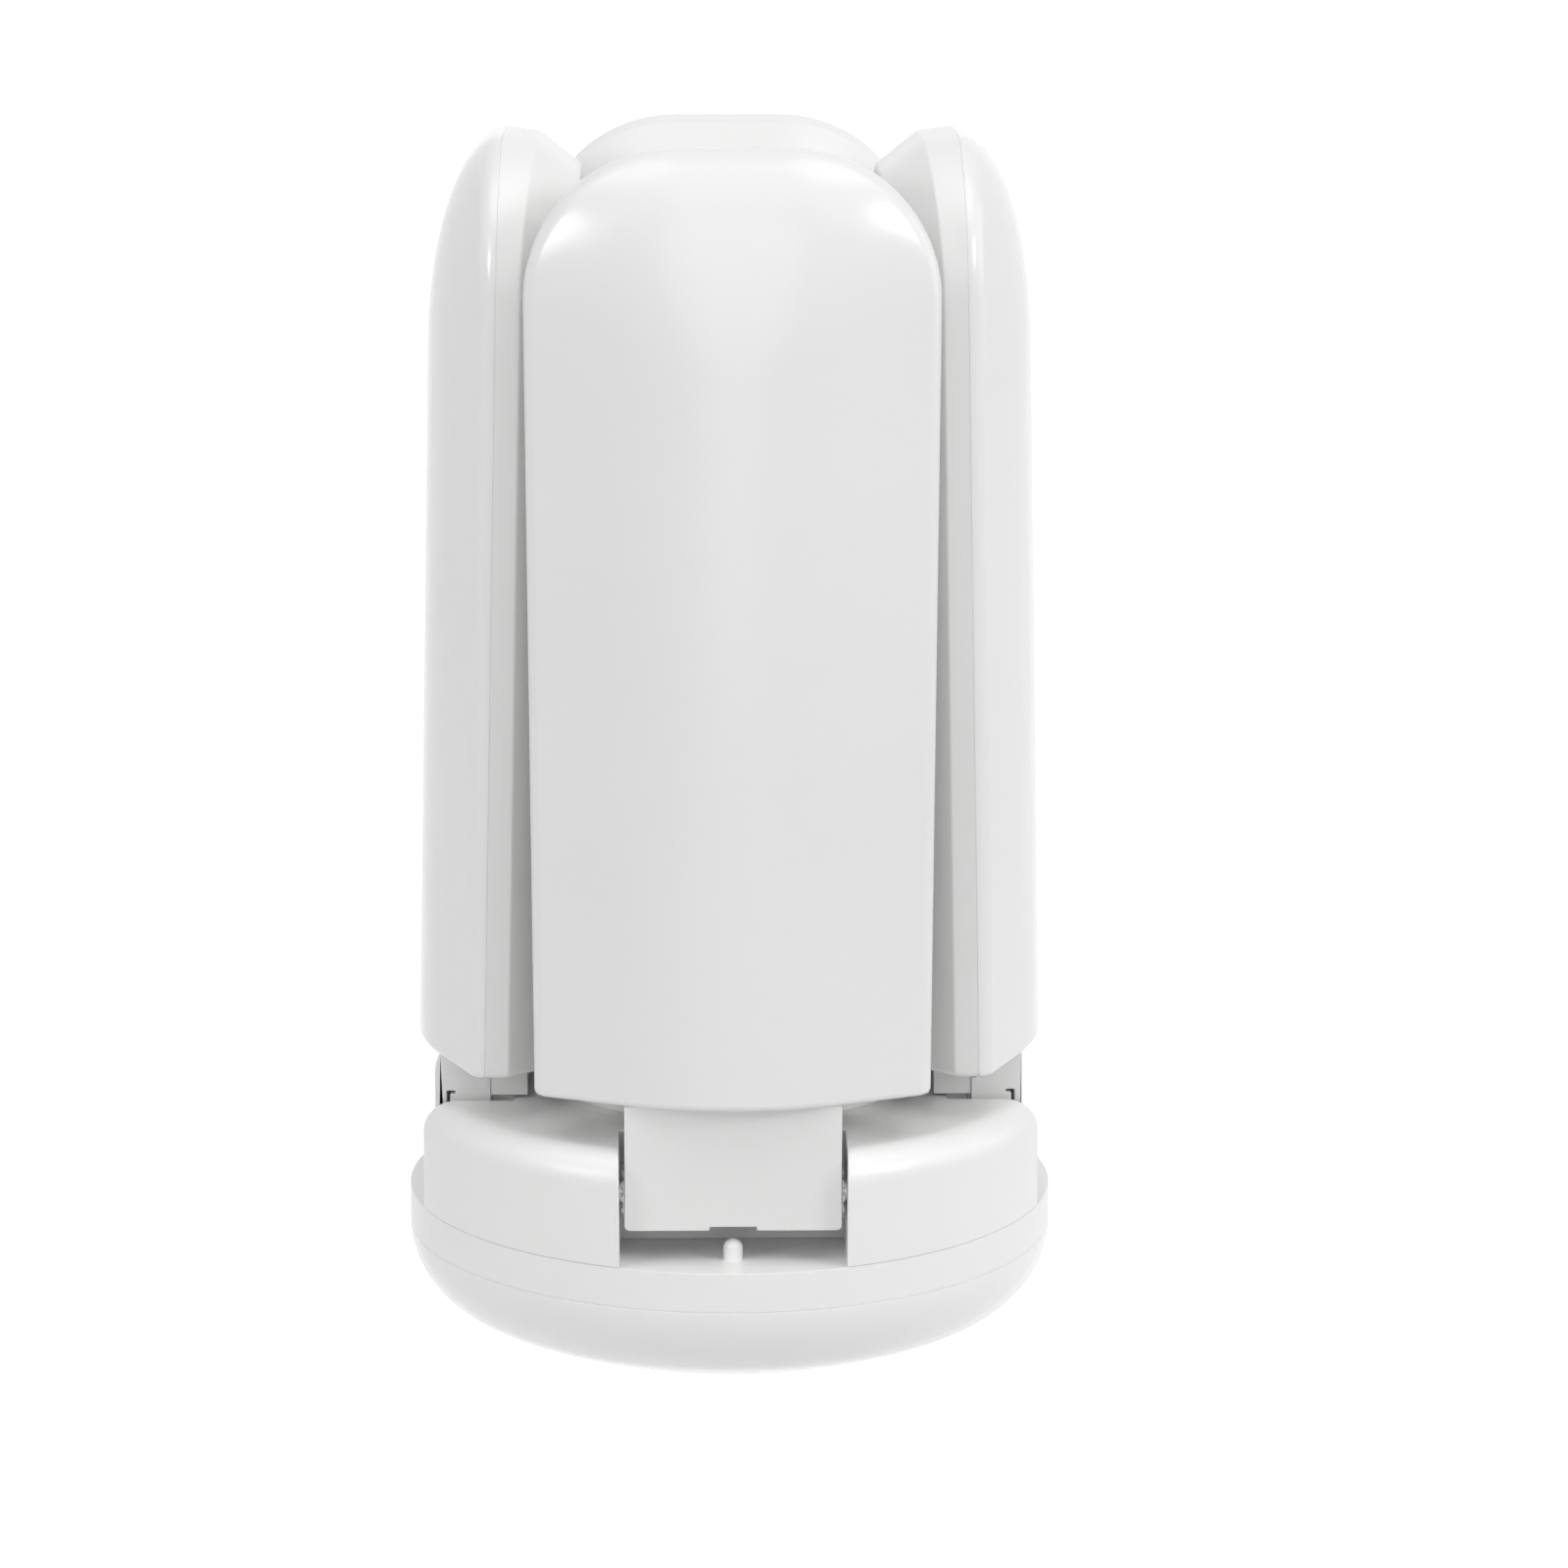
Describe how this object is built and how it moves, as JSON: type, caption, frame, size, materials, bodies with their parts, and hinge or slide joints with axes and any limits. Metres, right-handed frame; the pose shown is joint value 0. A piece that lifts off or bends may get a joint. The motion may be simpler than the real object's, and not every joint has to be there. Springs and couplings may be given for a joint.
{
  "type": "deformable garage light",
  "caption": "Screw-in garage ceiling light with a round domed lens in the middle and long light leaves that fold up around the screw cap or swing out level.",
  "frame": {"origin": "on the lamp's axis, where the screw cap's plain collar meets the neck", "axes": "+Z towards the cap's tip, which is up as it hangs; -Y towards the front leaf in the picture, +X to that view's right"},
  "size_m": [0.105, 0.105, 0.2],
  "materials": {
    "white_plastic": "satin white",
    "diffuser": "milky, softly glossy",
    "aluminium": "plain",
    "led_board": "white coated",
    "led_chip": "yellow chip",
    "steel": "zinc plated",
    "nickel": "bright plated",
    "circuit_board": "green",
    "transformer": "dark core with taped winding",
    "capacitor": "sleeved",
    "black_plastic": "matte",
    "insulator": "dark glassy",
    "wire": "sleeved wire"
  },
  "bodies": {
    "hub": {"central_lens": "diffuser", "base_ring": "white_plastic", "upper_housing": "white_plastic", "heat_sink": "aluminium", "central_led_board": "led_board", "central_leds": "led_chip", "housing_screws": "steel", "board_screws": "steel", "neck": "white_plastic", "neck_screws": "steel", "driver_board": "circuit_board", "transformer": "transformer", "capacitors": "capacitor", "driver_chips": "black_plastic", "screw_shell": "nickel", "cap_insulator": "insulator", "centre_contact": "nickel", "cap_wires": "wire", "central_wire": "wire", "leaf_feed_wires": "wire"},
    "leaf_front": {"leaf_arm_front": "white_plastic", "leaf_shell_front": "white_plastic", "diffuser_front": "diffuser", "leaf_board_front": "led_board", "leaf_leds_front": "led_chip", "hinge_tube_front": "steel", "leaf_screws_front": "steel", "leaf_wire_front": "wire"},
    "leaf_right": {"leaf_arm_right": "white_plastic", "leaf_shell_right": "white_plastic", "diffuser_right": "diffuser", "leaf_board_right": "led_board", "leaf_leds_right": "led_chip", "hinge_tube_right": "steel", "leaf_screws_right": "steel", "leaf_wire_right": "wire"},
    "leaf_back": {"leaf_arm_back": "white_plastic", "leaf_shell_back": "white_plastic", "diffuser_back": "diffuser", "leaf_board_back": "led_board", "leaf_leds_back": "led_chip", "hinge_tube_back": "steel", "leaf_screws_back": "steel", "leaf_wire_back": "wire"},
    "leaf_left": {"leaf_arm_left": "white_plastic", "leaf_shell_left": "white_plastic", "diffuser_left": "diffuser", "leaf_board_left": "led_board", "leaf_leds_left": "led_chip", "hinge_tube_left": "steel", "leaf_screws_left": "steel", "leaf_wire_left": "wire"}
  },
  "joints": [
    {"name": "leaf_front_hinge", "type": "hinge", "parent": "hub", "child": "leaf_front", "pos_m": [0, -0.0423, -0.0791], "axis": [1, 0, 0], "range_deg": [0, 90]},
    {"name": "leaf_right_hinge", "type": "hinge", "parent": "hub", "child": "leaf_right", "pos_m": [0.0423, 0, -0.0791], "axis": [0, 1, 0], "range_deg": [0, 90]},
    {"name": "leaf_back_hinge", "type": "hinge", "parent": "hub", "child": "leaf_back", "pos_m": [0, 0.0423, -0.0791], "axis": [-1, 0, 0], "range_deg": [0, 90]},
    {"name": "leaf_left_hinge", "type": "hinge", "parent": "hub", "child": "leaf_left", "pos_m": [-0.0423, 0, -0.0791], "axis": [0, -1, 0], "range_deg": [0, 90]}
  ]
}
